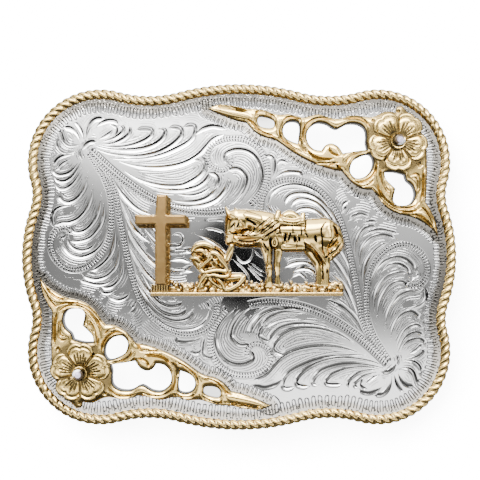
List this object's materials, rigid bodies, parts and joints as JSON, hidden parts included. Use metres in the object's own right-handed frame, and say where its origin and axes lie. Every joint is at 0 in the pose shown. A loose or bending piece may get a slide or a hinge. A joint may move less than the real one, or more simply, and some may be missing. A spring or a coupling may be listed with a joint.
{
  "type": "western belt buckle",
  "caption": "Domed oblong western belt buckle with a rope edge, pierced gold corners with flowers, a gold cross, kneeling rider and horse, and a belt loop and hook behind.",
  "frame": {"origin": "on the surface that the buckle lies on, below the middle of its box", "axes": "+Z out of the face, +Y up the face as worn, +X to the right of someone who looks at the face"},
  "size_m": [0.1016, 0.0806, 0.0152],
  "materials": {
    "silver_plate": "polished, engraved",
    "gold": "polished",
    "satin_gold": "satin",
    "stone": "cut and polished",
    "back_silver": "satin"
  },
  "bodies": {
    "root": {"plate": "silver_plate", "rope_edge": "gold", "filigree_right": "gold", "filigree_left": "gold", "flower_right": "gold", "flower_left": "gold", "stone_right": "stone", "stone_left": "stone", "cross": "satin_gold", "ground": "gold", "rider": "gold", "horse": "gold", "belt_loop": "back_silver", "belt_hook": "back_silver"}
  },
  "joints": []
}
